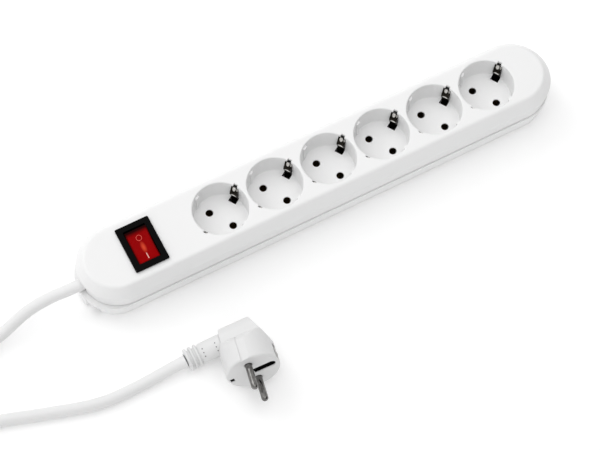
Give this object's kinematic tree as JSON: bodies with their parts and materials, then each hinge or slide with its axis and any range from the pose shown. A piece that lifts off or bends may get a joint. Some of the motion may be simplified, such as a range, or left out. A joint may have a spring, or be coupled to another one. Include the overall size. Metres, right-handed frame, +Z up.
{
  "type": "power strip",
  "caption": "Six-way earthed power strip with recessed round sockets, an illuminated rocker switch at the lead end and a lead with an angled earthed plug.",
  "frame": {"origin": "centre of the strip on the surface it stands on, without its lead and plug", "axes": "+X along the strip away from the lead, +Y across it to the O side of the switch, +Z up through the sockets"},
  "size_m": [0.5782, 0.1705, 0.0444],
  "materials": {
    "white_housing": "white moulded plastic, fine satin gloss",
    "white_cord": "white PVC sheath, satin",
    "black_bezel": "black moulded plastic, semi-gloss",
    "red_rocker": "translucent red plastic, glossy",
    "lamp_glass": "clear glass neon lamp, orange glow",
    "brass_contacts": "stamped brass",
    "nickel_contacts": "nickel-plated, bright",
    "steel_screws": "zinc-plated steel",
    "core_brown": "brown core insulation",
    "core_blue": "blue core insulation",
    "core_green_yellow": "green and yellow core insulation"
  },
  "bodies": {
    "strip": {"top_cover": "white_housing", "base_tray": "white_housing", "socket_insert_1": "white_housing", "socket_insert_2": "white_housing", "socket_insert_3": "white_housing", "socket_insert_4": "white_housing", "socket_insert_5": "white_housing", "socket_insert_6": "white_housing", "cord_clamp": "white_housing", "plug_body": "white_housing", "plug_boot": "white_housing", "live_busbar": "brass_contacts", "neutral_busbar": "brass_contacts", "earth_busbar": "brass_contacts", "switch_terminal_1": "brass_contacts", "switch_terminal_2": "brass_contacts", "switch_terminal_3": "brass_contacts", "switch_terminal_4": "brass_contacts", "earth_clip_1": "nickel_contacts", "earth_clip_2": "nickel_contacts", "earth_clip_3": "nickel_contacts", "earth_clip_4": "nickel_contacts", "earth_clip_5": "nickel_contacts", "earth_clip_6": "nickel_contacts", "plug_pin_1": "nickel_contacts", "plug_pin_2": "nickel_contacts", "plug_earth_strip": "nickel_contacts", "plug_earth_spring_1": "nickel_contacts", "plug_earth_spring_2": "nickel_contacts", "switch_housing": "black_bezel", "case_screw_1": "steel_screws", "case_screw_2": "steel_screws", "case_screw_3": "steel_screws", "case_screw_4": "steel_screws", "case_screw_5": "steel_screws", "case_screw_6": "steel_screws", "clamp_screw_1": "steel_screws", "clamp_screw_2": "steel_screws", "cord_strip_side": "white_cord", "cord_coil": "white_cord", "cord_plug_side": "white_cord", "live_wire_in": "core_brown", "live_wire_out": "core_brown", "neutral_wire_in": "core_blue", "neutral_wire_out": "core_blue", "earth_wire": "core_green_yellow"},
    "rocker": {"switch_rocker": "red_rocker", "switch_lamp": "lamp_glass"}
  },
  "joints": [
    {"name": "rocker_tilt", "type": "hinge", "parent": "strip", "child": "rocker", "pos_m": [-0.13335, 0, 0.036], "axis": [1, 0, 0], "range_deg": [-18, 0]}
  ]
}
